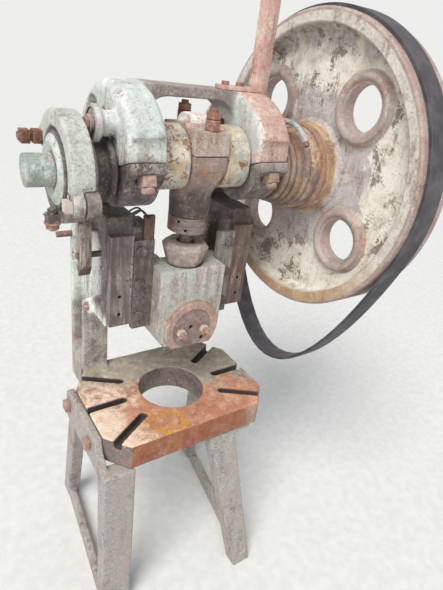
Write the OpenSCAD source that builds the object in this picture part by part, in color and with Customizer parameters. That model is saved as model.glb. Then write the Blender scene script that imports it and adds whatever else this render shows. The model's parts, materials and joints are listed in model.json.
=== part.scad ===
// Mechanical stamping press: open-back frame, overhead crankshaft, flywheel on
// the right and brake on the left. The origin is the centre of the die opening
// on the bed's top face. X runs along the crankshaft to the flywheel, Y to the
// back and Z up. The ram is drawn at the top of its stroke.

/* [Bed] */
// Half the width of the bed plate
bed_half_w = 267; // [240:1:300]
// Distance from the die centre to the front edge of the bed
bed_front = 182; // [165:1:200]
// Distance from the die centre to the back edge of the bed
bed_back = 208; // [200:1:230]
// Thickness of the bed plate
bed_t = 85; // [60:1:110]
// Length of the front corner cuts along X
corner_x = 55; // [30:1:80]
// Length of the front corner cuts along Y
corner_y = 66; // [40:1:90]
// Length of the back corner cuts along Y
back_corner_y = 103; // [60:1:110]
// Radius of the die opening
die_r = 100; // [70:1:120]
// Width of the clamping slots
slot_w = 23; // [10:1:28]
// Depth of the clamping slots
slot_depth = 30; // [15:1:45]
// Distance from the die centre to the inner end of a slot
slot_start = 148; // [135:1:185]
// Angle between the slots
slot_angle = 32; // [24:1:36]

/* [Frame] */
// Inner face of each head wall, from the middle
wall_in = 126; // [120:1:134]
// Outer face of each head wall, from the middle
wall_out = 216; // [205:1:230]
// Thickness of the lower columns
column_t = 76; // [60:1:86]
// Distance from the ram axis to the front of the columns
throat_y = 176; // [165:1:190]
// Underside of the head over the bed
throat_z = 255; // [240:1:270]
// Back face of the columns
column_back = 297; // [280:1:320]
// Radius of the round top of the head
head_r = 170; // [162:1:176]
// Front face of the bearing arms, from the shaft
arm_front = 98; // [90:1:102]
// Thickness of the bridge over the ram
bridge_t = 26; // [18:1:34]

/* [Crankshaft] */
// Height of the crankshaft over the bed
shaft_z = 676; // [668:1:690]
// Radius of the crankshaft
shaft_r = 36; // [30:0.5:38]
// Throw of the crank, half of the ram's stroke
throw = 45; // [30:1:48]
// Radius of the crank pin
pin_r = 34; // [28:0.5:38]
// Outer radius of the crank webs
web_r = 76; // [72:1:80]
// Running clearance of the shaft, the pin and the flywheel, on the radius
run = 0.05; // [0.02:0.01:0.1]
// Left end of the shaft
shaft_left = 399; // [392:1:410]

/* [Ram] */
// Half the width of the ram
ram_half_w = 97; // [88:1:97]
// Front and back faces of the ram, from its axis
ram_half_d = 64; // [58:1:68]
// Height of the ram's top over the bed
ram_top = 428; // [424:1:430]
// Height of the ram's bottom over the bed
ram_bottom = 200; // [185:1:210]
// Radius of the shank clamp
clamp_r = 58; // [50:1:62]
// Radius of the boss round the shank clamp
boss_r = 82; // [76:1:90]
// Radius of the shank bore
shank_r = 20; // [12.5:0.5:25]
// Depth of the shank bore
shank_depth = 70; // [50:1:80]
// Radius of the adjusting screw
screw_r = 19; // [16:0.5:22]
// Radius of the screw's ball
ball_r = 30; // [26:1:32]
// Height of the ball nut
ball_nut_h = 62; // [58:1:66]

/* [Flywheel] */
// Radius of the flywheel
wheel_r = 400; // [380:1:420]
// Width of the flywheel's rim
rim_w = 120; // [100:1:140]
// Thickness of the rim
rim_t = 38; // [30:1:50]
// Front plane of the rim, from the middle of the press
wheel_x = 345; // [340:1:352]
// Thickness of the flywheel's web
web_t = 26; // [20:1:32]
// Depth of the web behind the rim's front plane
web_depth = 40; // [32:1:46]
// Radius of the four holes
hole_r = 58; // [50:1:64]
// Outer radius of the rolled lips round the holes
lip_r = 94; // [88:1:98]
// Thickness of the drive belt
belt_t = 9; // [6:1:12]
// Width of the drive belt
belt_w = 62; // [40:1:90]

/* [Brake] */
// Radius of the brake drum
drum_r = 80; // [76:1:84]
// Outer radius of the brake strap
strap_r = 122; // [116:1:128]
// Left face of the brake strap
strap_left = 337; // [332:1:340]
// Right face of the brake strap
strap_right = 290; // [284:1:296]
// Thickness of the brake lining
lining_t = 6; // [4:0.5:8]

/* [Legs] */
// Height of the bed's top over the floor
bed_height = 660; // [600:1:720]
// Width of the front legs across the press
leg_w = 92; // [70:1:100]
// Thickness of the leg castings at the bed's sides
leg_plate_t = 22; // [18:1:30]
// Depth of the legs, front to back
leg_d = 50; // [40:1:60]
// Height of the foot rails
rail_h = 50; // [40:1:70]

/* [Hidden] */
$fn = 64;

// Gap between parts that slide flat on each other
slip = 0.3;
pin_z = shaft_z + throw;
stroke = 2 * throw;
split_tilt = 20;
stub_end = 347;
stub_r = shaft_r - 1;
bush_t = 10;
housing_r = shaft_r + bush_t;
head_y = 45;
head_z = shaft_z + 14;
web_in = 50;
web_out = 118;
bush_flange_t = wall_in - web_out - 0.5;
// The nut sits this deep in the ram's seat
nut_sink = 4;
// Share of the throw by which the pitman runs ahead of the ram in mid-stroke
mid_lead = 0.2105;
nut_z = ram_top - nut_sink;
seat_z = nut_z - throw * mid_lead - 0.5;
ball_z = nut_z + 34;
gib_top = 515;
gib_bottom = 258;
gib_front = 10;
ring_h = 20;
ring_r = 52;
neck_r = 54;
ring_z = nut_z + ball_nut_h + 33;
wing_front = 2;
wing_back = 50;
wing_half_w = 122;
clamp_z = 255;
boss_front = 82;
lug_z = 262;
lug_y = 122;
lever_y = 98;
lever_z = 430;
rod_back = column_back - 16;
rod_z = 420;
link_y = -20;
link_z = shaft_z + 100;
link_left = wall_out + 38;
anchor_y = -112;
anchor_z = shaft_z - 43;
tension_y = 92;
tension_z = shaft_z + 50;
column_in = wall_out - column_t;
bracket_z = head_z + head_r - 1.8;
pipe_r = 6.5;
pipe_y = 20;
pipe_z = shaft_z + 126;
lug_in = 313;
stud_x = 344;
strap_in = drum_r + lining_t + slip;
web_x = wheel_x + web_depth;
wheel_back = wheel_x + rim_w;
collar_left = 228;
collar_right = 300;
ring_left = collar_right + 2;
hub_r = 122;
rim_in = wheel_r - rim_t;
hole_circle = (rim_in + hub_r) / 2;
hub_left = 330;

module along_x(x0, x1) {
  translate([x0, 0, 0]) rotate([90, 0, 90]) linear_extrude(x1 - x0) children();
}

module rod_x(r, x0, x1, y, z) {
  translate([x0, y, z]) rotate([0, 90, 0]) cylinder(r = r, h = x1 - x0);
}

module rod_y(r, y0, y1, x, z) {
  translate([x, y1, z]) rotate([90, 0, 0]) cylinder(r = r, h = y1 - y0);
}

module revolve_x(y, z) {
  translate([0, y, z]) rotate([0, 90, 0]) rotate_extrude() children();
}

module both_sides() {
  children();
  mirror([1, 0, 0]) children();
}

// Points of an arc, from angle a to angle b in n steps
function arc(c, r, a, b, n = 10) =
  [for (i = [0 : n]) let (t = a + (b - a) * i / n) [c[0] + r * cos(t), c[1] + r * sin(t)]];

function octagon() = [
  [-bed_half_w + corner_x, -bed_front], [bed_half_w - corner_x, -bed_front],
  [bed_half_w, -bed_front + corner_y], [bed_half_w, bed_back - back_corner_y],
  [bed_half_w - 67, bed_back], [-bed_half_w + 67, bed_back],
  [-bed_half_w, bed_back - back_corner_y], [-bed_half_w, -bed_front + corner_y]];

module bed_plate() {
  bevel = 4;
  translate([0, 0, -bed_t]) linear_extrude(bed_t - bevel) polygon(octagon());
  hull() {
    translate([0, 0, -bevel - 0.01]) linear_extrude(0.01) polygon(octagon());
    translate([0, 0, -0.01]) linear_extrude(0.01) scale([0.985, 0.98]) polygon(octagon());
  }
}

module bed_slots() {
  reach = 2 * bed_half_w;
  for (side = [0, 180], a = [-slot_angle, 0, slot_angle])
    rotate([0, 0, side + a]) {
      translate([slot_start + slot_w / 2, -slot_w / 2, -slot_depth]) cube([reach, slot_w, slot_depth + 1]);
      translate([slot_start + slot_w / 2, 0, -slot_depth]) cylinder(d = slot_w, h = slot_depth + 1);
    }
}

// Side outline of a column with the throat in front of it
module column_outline() {
  corner = 46;
  foot = 26;
  polygon(concat(
    [[gib_front + 2, gib_top + 45], [gib_front + 2, throat_z]],
    arc([throat_y - corner, throat_z - corner], corner, 90, 0),
    arc([throat_y - foot, foot], foot, 0, -90, 6),
    [[throat_y - foot, -bed_t], [column_back, -bed_t]],
    [[column_back, 390], [column_back - 10, 440], [head_y + head_r, head_z], [130, head_z], [130, 575], [115, gib_top + 45]]));
}

// Side outline of a bearing arm over the split line
module arm_outline() {
  rise = arm_front * tan(split_tilt);
  polygon(concat(
    [[-arm_front, shaft_z + rise]],
    [[-arm_front, head_z + 68]],
    arc([head_y, head_z], head_r - 1, 154, 0, 24),
    [[head_y + head_r - 1, head_z - 40], [130, shaft_z - 130 * tan(split_tilt)]]));
}

module arm() {
  round_r = 20;
  intersection() {
    revolve_x(head_y, head_z) translate([0, wall_in]) union() {
      square([head_r - round_r, wall_out - wall_in]);
      translate([0, round_r]) square([head_r, wall_out - wall_in - 2 * round_r]);
      for (h = [round_r, wall_out - wall_in - round_r]) translate([head_r - round_r, h]) circle(r = round_r);
    }
    along_x(wall_in, wall_out) arm_outline();
  }
}

module guide_way() {
  // Way for the ram's wings, open to the ram
  difference() {
    union() {
      translate([ram_half_w + 1, wing_front - slip + 0.1, gib_bottom])
        cube([151 - ram_half_w - 1, 80, gib_top - gib_bottom + 20]);
      translate([150, gib_front + 2.2, gib_bottom]) cube([wall_out - 150, 70, gib_top - gib_bottom + 20]);
    }
    translate([0, 0, gib_bottom - 1])
      cube([wing_half_w + slip, wing_back + slip, gib_top - gib_bottom + 40]);
  }
}

module side_wall() {
  pocket = 34;
  difference() {
    union() {
      along_x(column_in, wall_out) column_outline();
      guide_way();
      arm();
    }
    // Recess between the flanges of the column's outer side
    along_x(wall_out - pocket, wall_out + 1) polygon(concat(
      arc([throat_y + 44, 60], 14, 180, 270, 4), arc([column_back - 32, 60], 10, 270, 360, 4),
      arc([column_back - 42, 400], 20, 0, 60, 4), arc([70, gib_top - 30], 24, 60, 180, 5),
      [[46, throat_z + 46], [110, throat_z + 46], [throat_y + 20, throat_z - 10]]));
    // Arched window behind the bearing
    along_x(wall_in - 1, wall_out + 1) union() {
      translate([head_y + 70, head_z + 85]) circle(r = 42);
      translate([head_y + 28, head_z + 8]) square([84, 77]);
    }
  }
  // Lug on the outer side of the column
  rod_x(24, wall_out - pocket, wall_out + 8, lug_y, lug_z);
}

module frame_bores() {
  rod_x(housing_r, -wall_out - 1, wall_out + 1, 0, shaft_z);
  translate([0, 0, -bed_t - 1]) cylinder(r = die_r, h = bed_t + 2);
  rod_x(9, -wall_out - 1, -column_in - 10, rod_back, rod_z);
  rod_x(8, -wall_out, -column_in + 1 - 30, lever_y, lever_z);
  rod_x(10, -link_left - 1, -wall_out + 20, link_y, link_z);
  rod_x(pipe_r, wall_out - 20, wall_out + 1, pipe_y, pipe_z);
  both_sides() {
    cap_stud_places() cylinder(r = 11, h = 34);
    gib_screw_places() cylinder(r = 7, h = 44);
  }
  mirror([1, 0, 0]) leg_bolt_places() translate([0, 0, -30]) cylinder(r = 9, h = 31);
  right_bolt_places() translate([0, 0, -1]) cylinder(r = 9, h = 31);
  bracket_bolt_places() translate([0, 0, -20]) cylinder(r = 6, h = 40);
}

module bridge() {
  y0 = head_y - 20;
  y1 = head_y + 78;
  top = head_z + head_r - 2;
  corner = 60;
  translate([-wall_in - 20, y0, top - bridge_t]) cube([2 * wall_in + 40, y1 - y0, bridge_t]);
  both_sides() difference() {
    translate([wall_in - corner, y0, top - corner - bridge_t + 10]) cube([corner + 1, y1 - y0, corner]);
    translate([wall_in - corner, y0 - 1, top - corner - bridge_t]) rotate([-90, 0, 0])
      cylinder(r = corner, h = y1 - y0 + 2);
  }
}

module frame() {
  color("#b9c3b4") difference() {
    union() {
      bed_plate();
      both_sides() side_wall();
      bridge();
      // Boss on the left wall for the brake anchor
      rod_x(27, -link_left, -wall_out + 1, link_y, link_z);
    }
    frame_bores();
    bed_slots();
    // Flat for the bracket's foot
    translate([77, head_y - 19, bracket_z - 0.2]) cube([wall_out - 76, 38, 12]);
  }
}

module bearing_cap() {
  ear = 112;
  ear_t = 24;
  color("#9a958c") difference() {
    translate([0, 0, shaft_z]) rotate([-split_tilt, 0, 0]) difference() {
      along_x(wall_in + 2, wall_out - 2) union() {
        circle(r = housing_r + 38);
        polygon([[-ear, 0], [-ear, -ear_t], [-housing_r - 20, -ear_t - 14], [housing_r + 20, -ear_t - 14],
          [ear, -ear_t], [ear, 0]]);
      }
      translate([0, -ear - 1, -slip]) cube([wall_out + 1, 2 * ear + 2, 2 * ear]);
    }
    rod_x(housing_r, wall_in, wall_out, 0, shaft_z);
    cap_stud_places() {
      cylinder(r = 11.2, h = 90, center = true);
      translate([-19.5, -19.5, -ear_t - 60]) cube([39, 39, 60]);
    }
  }
}

module cap_stud_places() {
  mid = (wall_in + wall_out) / 2;
  translate([mid, 0, shaft_z]) rotate([-split_tilt, 0, 0])
    for (y = [-92, 92]) translate([0, y, 0]) children();
}

module bearing_cap_left() {
  mirror([1, 0, 0]) bearing_cap();
}

module bearing_cap_right() {
  bearing_cap();
}

module bearing_cap_studs() {
  color("#8a5b48") both_sides() cap_stud_places() translate([0, 0, -64]) cylinder(r = 11, h = 94);
}

module bearing_cap_nuts() {
  nut_w = 31;
  color("#a77263") both_sides() cap_stud_places() translate([0, 0, -24 - 24]) difference() {
    union() {
      translate([-nut_w / 2, -nut_w / 2, 0]) cube([nut_w, nut_w, 24]);
      translate([0, 0, -14]) cylinder(r1 = 13, r2 = 15, h = 4);
      translate([0, 0, -10]) cylinder(r = 15, h = 9.7);
    }
    translate([0, 0, -20]) cylinder(r = 11, h = 50);
  }
}

module main_bush() {
  color("#a38a5a") difference() {
    union() {
      rod_x(housing_r, wall_in, wall_out + 8, 0, shaft_z);
      rod_x(housing_r + 10, wall_in - bush_flange_t, wall_in, 0, shaft_z);
    }
    rod_x(shaft_r + run, wall_in - 20, wall_out + 20, 0, shaft_z);
  }
}

module main_bush_left() {
  mirror([1, 0, 0]) main_bush();
}

module main_bush_right() {
  main_bush();
}

// Plate bolted to the bed's side, from which the legs hang
module leg_plate() {
  top = -6;
  low = -bed_t - 26;
  front = -bed_front + corner_y;
  along_x(bed_half_w, bed_half_w + leg_plate_t) polygon(concat(
    [[front + 2, top], [front - 12, -46], [front - 50, -bed_t - 2], [front - 50, low]],
    [[124, low]], arc([104, -24], 20, 0, 90, 4), [[96, -4]]));
}

// One slanting leg between two level rectangles, given by their corners
module slant(top, top_size, foot, foot_size) {
  hull() {
    translate([top[0], top[1], top[2] - 1]) cube([top_size[0], top_size[1], 1]);
    translate([foot[0], foot[1], -bed_height]) cube([foot_size[0], foot_size[1], 1]);
  }
}

module foot_rail(a, b, t) {
  hull() {
    translate([a[0], a[1], -bed_height]) cube([t, 1, rail_h]);
    translate([b[0], b[1], -bed_height]) cube([t, 1, rail_h]);
  }
}

module leg_bolt_places() {
  for (y = [-76, 92]) translate([bed_half_w, y, -46]) rotate([0, 90, 0]) children();
}

module leg_left() {
  low = -bed_t - 0.5;
  color("#9c968c") difference() {
    union() {
      mirror([1, 0, 0]) leg_plate();
      slant([-bed_half_w - leg_plate_t, -bed_front - 6, low], [leg_w, leg_d],
        [-bed_half_w - leg_plate_t - 4, -bed_front - 22, 0], [leg_w, leg_d]);
      slant([-bed_half_w - leg_plate_t + 6, 66, low], [40, 54], [-246, 276, 0], [44, 56]);
      foot_rail([-244, 278], [-bed_half_w - leg_plate_t + 2, -bed_front - 20], 24);
    }
    mirror([1, 0, 0]) leg_bolt_places() cylinder(r = 9.2, h = 200, center = true);
  }
}

module leg_right() {
  top = -bed_t - 0.2;
  t = 18;
  inner = 46;
  outer = 236;
  color("#9c968c") difference() {
    union() {
      translate([die_r + 14, -bed_front + 66, top - t]) cube([outer - die_r - 14, bed_front + 120, t]);
      translate([inner, -bed_front + 6, top - t]) cube([outer - inner - 40, 64, t]);
      slant([inner, -bed_front + 6, top], [leg_w, leg_d], [162, -bed_front - 92, 0], [68, leg_d]);
      slant([outer - 46, 132, top], [46, 54], [262, 240, 0], [44, 56]);
      foot_rail([268, 242], [186, -bed_front - 90], 24);
    }
    right_bolt_places() translate([0, 0, -40]) cylinder(r = 9.2, h = 60);
  }
}

module right_bolt_places() {
  for (y = [-60, 90]) translate([196, y, -bed_t]) children();
}

module leg_bolts() {
  color("#a9897a") {
    mirror([1, 0, 0]) leg_bolt_places() union() {
      translate([0, 0, -30]) cylinder(r = 9, h = leg_plate_t + 31);
      translate([-14, -14, leg_plate_t]) cube([28, 28, 16]);
    }
    right_bolt_places() union() {
      translate([0, 0, -19]) cylinder(r = 9, h = 49);
      translate([-14, -14, -18.4 - 16]) cube([28, 28, 16]);
    }
  }
}

module gib_outer() {
  color("#6f6259") difference() {
    translate([152, -gib_front, throat_z + 10]) cube([60, 2 * gib_front + 2, gib_top - throat_z - 10]);
    for (z = [300, 352]) rod_y(5, -gib_front - 1, 0, 186, z);
  }
}

module gib_outer_left() {
  mirror([1, 0, 0]) gib_outer();
}

module gib_outer_right() {
  gib_outer();
}

module gib_inner() {
  color("#64584f") difference() {
    translate([ram_half_w + 1, -gib_front - 4, gib_bottom - 8])
      cube([151 - ram_half_w - 1, gib_front + 4 + wing_front - slip, gib_top - 5 - gib_bottom]);
    gib_screw_places() translate([0, 0, -1]) cylinder(r = 7, h = 60);
  }
}

module gib_screw_places() {
  for (z = [287, 382, 472]) translate([134, -gib_front - 4, z]) rotate([-90, 0, 0]) children();
}

module gib_inner_left() {
  mirror([1, 0, 0]) gib_inner();
}

module gib_inner_right() {
  gib_inner();
}

module gib_post() {
  low = gib_top - 13;
  color("#7a4f3c") along_x(-127, -100)
    polygon([[-13, low], [1, low], [1, low + 60], [-2, low + 63], [-10, low + 63], [-13, low + 60]]);
}

module gib_screws() {
  color("#776a60") both_sides() gib_screw_places() union() {
    translate([0, 0, -6]) cylinder(r = 15, h = 6);
    cylinder(r = 7, h = 44);
  }
}

module oil_pipe() {
  sweep_r = 96;
  sweep = 52;
  pipe_x = wall_out + 34;
  color("#9aa0a0") union() {
    rod_x(pipe_r, wall_out - 20, pipe_x, pipe_y, pipe_z);
    translate([pipe_x, pipe_y, pipe_z]) sphere(r = pipe_r + 2.5);
    rod_y(pipe_r, pipe_y - 60, pipe_y, pipe_x, pipe_z);
    // Sweep over the collar
    translate([pipe_x, pipe_y - 60, pipe_z - sweep_r]) rotate([0, -90, 0])
      rotate([0, 0, -sweep]) rotate_extrude(angle = sweep) translate([sweep_r, 0]) circle(r = pipe_r);
  }
}

module bracket_bolt_places() {
  for (x = [98, 142]) translate([x, head_y + 2, head_z + head_r - 2]) children();
}

module guard_bracket() {
  color("#a7766a") difference() {
    union() {
      translate([78, head_y - 18, bracket_z]) cube([138, 36, 10]);
      translate([180, head_y - 18, bracket_z]) cube([36, 6, 330]);
      translate([180, head_y - 18, bracket_z]) cube([6, 34, 330]);
    }
    bracket_bolt_places() cylinder(r = 6, h = 40);
  }
}

module guard_bracket_bolts() {
  color("#8c5c4e") bracket_bolt_places() union() {
    translate([0, 0, 10.2]) cylinder(r = 11, h = 9, $fn = 6);
    translate([0, 0, -20]) cylinder(r = 6, h = 31);
  }
}

module rear_pin() {
  color("#9d7b6c") rod_x(9, -wall_out - 42, -column_in - 10, rod_back, rod_z);
}

module link_disc() {
  t = 12;
  color("#9a8a82") difference() {
    union() {
      rod_x(38, -link_left - t, -link_left, link_y, link_z);
      rod_x(18, -link_left - t - 5, -link_left, link_y, link_z);
    }
    difference() {
      rod_x(31, -link_left - t - 1, -link_left - t + 3, link_y, link_z);
      rod_x(18, -link_left - t - 2, -link_left, link_y, link_z);
    }
    rod_x(10, -link_left - t - 6, -link_left + 1, link_y, link_z);
  }
}

module link_disc_bolt() {
  color("#6c625c") union() {
    rod_x(10, -link_left - 20, -wall_out + 20, link_y, link_z);
    translate([-link_left - 26, link_y, link_z]) rotate([0, 90, 0]) cylinder(r = 13, h = 7, $fn = 6);
  }
}

module trip_lever_pin() {
  color("#6d6a66") rod_x(8, -wall_out - 46, -column_in - 29, lever_y, lever_z);
}

module trip_lever() {
  t = 30;
  left = -wall_out - 40;
  y = lever_y;
  z = lever_z;
  color("#8b8078") difference() {
    along_x(left, left + t) polygon(concat(
      [[y - 14, z - 34], [y - 2, z - 57]], [[y + 8, z - 42], [y + 20, z - 10]],
      arc([y + 4, z + 74], 17, 0, 180, 8), [[y - 17, z]]));
    rod_x(8.05, left - 1, left + t + 1, y, z);
  }
}

// Ring sector between two radii and two angles in the side view
module sector(r0, r1, a, b) {
  translate([0, shaft_z]) intersection() {
    difference() {
      circle(r = r1);
      circle(r = r0);
    }
    polygon(concat([[0, 0]], arc([0, 0], 2 * r1, a, b, 6)));
  }
}

// Side outline of the lower strap's ear round the hinge pin
module strap_ear() {
  hull() {
    translate([anchor_y, anchor_z]) circle(r = 29);
    translate([-72, shaft_z - 70]) circle(r = 8);
  }
}

module brake_strap() {
  color("#aeb3a4") difference() {
    along_x(-strap_left, -strap_right) union() {
      sector(strap_in - 3, strap_r, 22, 206);
      translate([anchor_y, anchor_z]) circle(r = 24);
      translate([tension_y + 2, tension_z + 2]) circle(r = 24);
    }
    // Room for the lower strap's ear beside the tongue
    along_x(-lug_in, -strap_right + 1) offset(1) strap_ear();
    rod_x(strap_in, -strap_left - 1, -strap_right + 1, 0, shaft_z);
    rod_x(9, -strap_left - 1, -strap_right + 1, anchor_y, anchor_z);
    rod_x(9, -strap_left - 1, -strap_right + 1, tension_y, tension_z);
  }
}

module brake_strap_lower() {
  color("#4c4a4c") difference() {
    union() {
      along_x(-strap_left + 4, -strap_right - 4) sector(strap_in, strap_r - 10, 222, 352);
      along_x(1 - lug_in, 28 - lug_in) strap_ear();
      // Lug for the adjusting stud
      translate([-stud_x - 13, -14, shaft_z - strap_r + 9]) cube([stud_x - strap_left + 20, 28, 18]);
    }
    rod_x(strap_in, -strap_left, 29 - lug_in, 0, shaft_z);
    rod_x(9, -lug_in, 29 - lug_in, anchor_y, anchor_z);
    translate([-stud_x, 0, shaft_z - strap_r]) cylinder(r = 8, h = 60);
  }
}

module brake_linings() {
  color("#3d3833") {
    along_x(-strap_left + 4, -strap_right - 4) sector(drum_r + slip, strap_in, 24, 204);
    along_x(-strap_left + 4, -strap_right - 4) sector(drum_r + slip, strap_in, 226, 348);
  }
}

module brake_hinge_pin() {
  color("#b39a90") union() {
    rod_x(9, -strap_left - 1, 34 - lug_in, anchor_y, anchor_z);
    translate([-strap_left - 15, anchor_y - 12, anchor_z - 12]) cube([14.8, 24, 24]);
  }
}

module brake_anchor_stud() {
  color("#8f5a38") rod_x(9, -strap_left - 49, -strap_right + 1, tension_y, tension_z);
}

module brake_anchor_nuts() {
  color("#9c6238") for (x = [-strap_left - 19, -strap_left - 44]) difference() {
    translate([x, tension_y - 14, tension_z - 14]) cube([18.5, 28, 28]);
    rod_x(9, x - 1, x + 20, tension_y, tension_z);
  }
}

module brake_adjusting_stud() {
  seat = shaft_z - strap_r + 9;
  color("#8a7a70") translate([-stud_x, 0, seat]) union() {
    translate([0, 0, -20]) cylinder(r = 8, h = 50);
    translate([0, 0, -16]) cylinder(r = 15, h = 12, $fn = 6);
    translate([0, 0, -4.2]) cylinder(r = 18, h = 4);
  }
}

module crank_web(x0, x1) {
  low_r = web_r - 24;
  low = shaft_z - 42;
  along_x(x0, x1) union() {
    translate([0, pin_z - 16]) circle(r = web_r);
    translate([-web_r, low + low_r]) square([2 * web_r, pin_z - 16 - low - low_r]);
    translate([low_r - web_r, low]) square([2 * (web_r - low_r), low_r + 8]);
    for (y = [low_r - web_r, web_r - low_r]) translate([y, low + low_r]) circle(r = low_r);
  }
}

module crankshaft() {
  color("#b6a58a") union() {
    rod_x(stub_r, -shaft_left, -stub_end, 0, shaft_z);
    rod_x(shaft_r, -stub_end, -web_in - 10, 0, shaft_z);
    rod_x(shaft_r, web_in + 10, wheel_back + 40, 0, shaft_z);
    rod_x(pin_r, -web_in - 1, web_in + 1, 0, pin_z);
    crank_web(-web_out, -web_in);
    crank_web(web_in, web_out);
  }
}

module brake_drum() {
  color("#a9b0a4") difference() {
    revolve_x(0, shaft_z) polygon([[shaft_r, -341], [58, -347], [66, -341], [drum_r, -337], [drum_r, -281],
      [drum_r + 3, -280], [drum_r + 3, -273], [drum_r, -271], [58, -269], [58, -238], [72, -236],
      [72, -wall_out - 9.5], [shaft_r, -wall_out - 9.5]]);
    translate([-342, -6, shaft_z + shaft_r - 4]) cube([60, 12, 8.5]);
  }
}

module shaft_keys() {
  color("#7b766e") translate([-341, -6, shaft_z + shaft_r]) cube([56, 12, 4.5]);
}

module clutch_collar() {
  color("#b5702e") difference() {
    revolve_x(0, shaft_z) polygon([[shaft_r, collar_left], [84, collar_left], [91, collar_left + 5],
      [91, collar_left + 11], [87, collar_left + 13], [87, collar_left + 17], [95, collar_left + 20],
      [95, collar_left + 28], [91, collar_left + 30], [91, collar_left + 34], [101, collar_left + 38],
      [101, collar_left + 46], [96, collar_left + 49], [96, collar_right - 14], [104, collar_right - 10],
      [104, collar_right], [shaft_r, collar_right]]);
  }
}

module clutch_ring() {
  color("#a9795c") difference() {
    revolve_x(0, shaft_z) polygon([[52, ring_left], [106, ring_left], [112, ring_left + 6],
      [112, hub_left], [52, hub_left]]);
    ring_bolt_places() translate([0, 0, -1]) cylinder(r = 6, h = 60);
  }
}

module ring_bolt_places() {
  for (i = [0 : 5]) translate([ring_left, 0, shaft_z]) rotate([i * 60 + 15, 0, 0]) translate([0, 0, 82])
    rotate([0, 90, 0]) children();
}

module clutch_ring_bolts() {
  color("#7d6a5c") ring_bolt_places() translate([0, 0, 2]) cylinder(r = 6, h = 40);
}

module wheel_profile() {
  back_face = web_x + web_t;
  bend = 12;
  polygon(concat(
    [[shaft_r + 8, hub_left], [hub_r - 6, hub_left], [hub_r, hub_left + 6], [hub_r, web_x - 14], [hub_r + 14, web_x]],
    [[rim_in - bend, web_x]],
    [[rim_in, web_x - bend], [rim_in + 2, wheel_x + 3], [rim_in + 5, wheel_x]],
    [[wheel_r - 5, wheel_x], [wheel_r, wheel_x + 5], [wheel_r, wheel_back - 3], [wheel_r - 3, wheel_back]],
    [[rim_in + 3, wheel_back], [rim_in, back_face + bend], [rim_in - bend, back_face]],
    [[hub_r, back_face], [hub_r - 8, back_face + 14], [hub_r - 8, wheel_back + 4], [shaft_r + 8, wheel_back + 4]]));
}

module wheel_hole_places() {
  for (i = [0 : 3]) translate([0, 0, shaft_z]) rotate([45 - 4 + 90 * i, 0, 0]) translate([0, hole_circle, 0]) children();
}

module flywheel() {
  lip_rise = 15;
  color("#a39c93") difference() {
    union() {
      revolve_x(0, shaft_z) wheel_profile();
      wheel_hole_places() rotate([0, 90, 0]) rotate_extrude() polygon(concat(
        [[hole_r - 6, web_x + 1], [hole_r - 2, web_x - 8]],
        arc([hole_r + 18, web_x - lip_rise + 10], 13, 200, 300, 5),
        [[lip_r - 8, web_x - 8], [lip_r, web_x + 1]]));
    }
    wheel_hole_places() rod_x(hole_r, web_x - 20, web_x + web_t + 20, 0, 0);
    ring_bolt_places() translate([0, 0, hub_left - ring_left - 1]) cylinder(r = 6, h = 16);
  }
}

module flywheel_bush() {
  color("#a38a5a") difference() {
    rod_x(shaft_r + 8, hub_left + 1, wheel_back + 4, 0, shaft_z);
    rod_x(shaft_r + run, hub_left, wheel_back + 5, 0, shaft_z);
  }
}

module shaft_end_collar() {
  color("#8c8479") difference() {
    revolve_x(0, shaft_z) polygon([[shaft_r, wheel_back + 6], [62, wheel_back + 6], [62, wheel_back + 22],
      [58, wheel_back + 26], [shaft_r, wheel_back + 26]]);
    translate([wheel_back + 16, 0, shaft_z]) cylinder(r = 5, h = 80);
  }
}

module pitman() {
  half_w = 46;
  ring_top = ring_z + 2 * ring_h + 1;
  color("#8d7868") difference() {
    union() {
      intersection() {
        hull() {
          translate([-half_w, -80, pin_z - 34]) cube([2 * half_w, 160, 33.8]);
          translate([0, 0, pin_z - 101]) cylinder(r = neck_r, h = 4, $fn = 32);
        }
        translate([-web_in + 1, -100, pin_z - 102]) cube([2 * web_in - 2, 200, 110]);
      }
      translate([0, 0, ring_top]) cylinder(r1 = ring_r, r2 = neck_r, h = pin_z - 98 - ring_top);
    }
    rod_x(pin_r + 8, -web_in, web_in, 0, pin_z);
    for (y = [-66, 66]) translate([0, y, pin_z - 40]) cylinder(r = 9, h = 60);
    translate([0, 0, ring_z]) cylinder(r = screw_r, h = pin_z - 60 - ring_z);
  }
}

module pitman_cap() {
  half_w = 46;
  color("#8f7763") difference() {
    union() {
      translate([-half_w, -82, pin_z + 0.2]) cube([2 * half_w, 164, 56]);
      rod_x(68, -half_w, half_w, 0, pin_z);
      rod_x(44, -half_w + 10, half_w - 10, 0, pin_z + 42);
    }
    translate([-half_w - 1, -90, pin_z - 100]) cube([2 * half_w + 2, 180, 100.2]);
    rod_x(pin_r + 8, -half_w - 1, half_w + 1, 0, pin_z);
    for (y = [-66, 66]) translate([0, y, pin_z]) cylinder(r = 9, h = 60);
  }
}

module big_end_bush() {
  color("#a38a5a") difference() {
    rod_x(pin_r + 8, -47, 47, 0, pin_z);
    rod_x(pin_r + run, -60, 60, 0, pin_z);
  }
}

module pitman_studs() {
  color("#86543d") for (y = [-66, 66]) translate([0, y, pin_z - 40]) cylinder(r = 9, h = 144);
}

module pitman_nuts() {
  color("#93604a") for (y = [-66, 66], nut = [[56.4, 24, 19], [82, 14, 18]]) difference() {
    translate([0, y, pin_z + nut[0]]) cylinder(r = nut[2], h = nut[1], $fn = 6);
    translate([0, y, pin_z + nut[0] - 1]) cylinder(r = 9, h = nut[1] + 2);
  }
}

module adjusting_screw() {
  color("#5d534b") union() {
    translate([0, 0, ball_z]) sphere(r = ball_r);
    translate([0, 0, ball_z]) cylinder(r = screw_r, h = pin_z - 64 - ball_z);
  }
}

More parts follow.
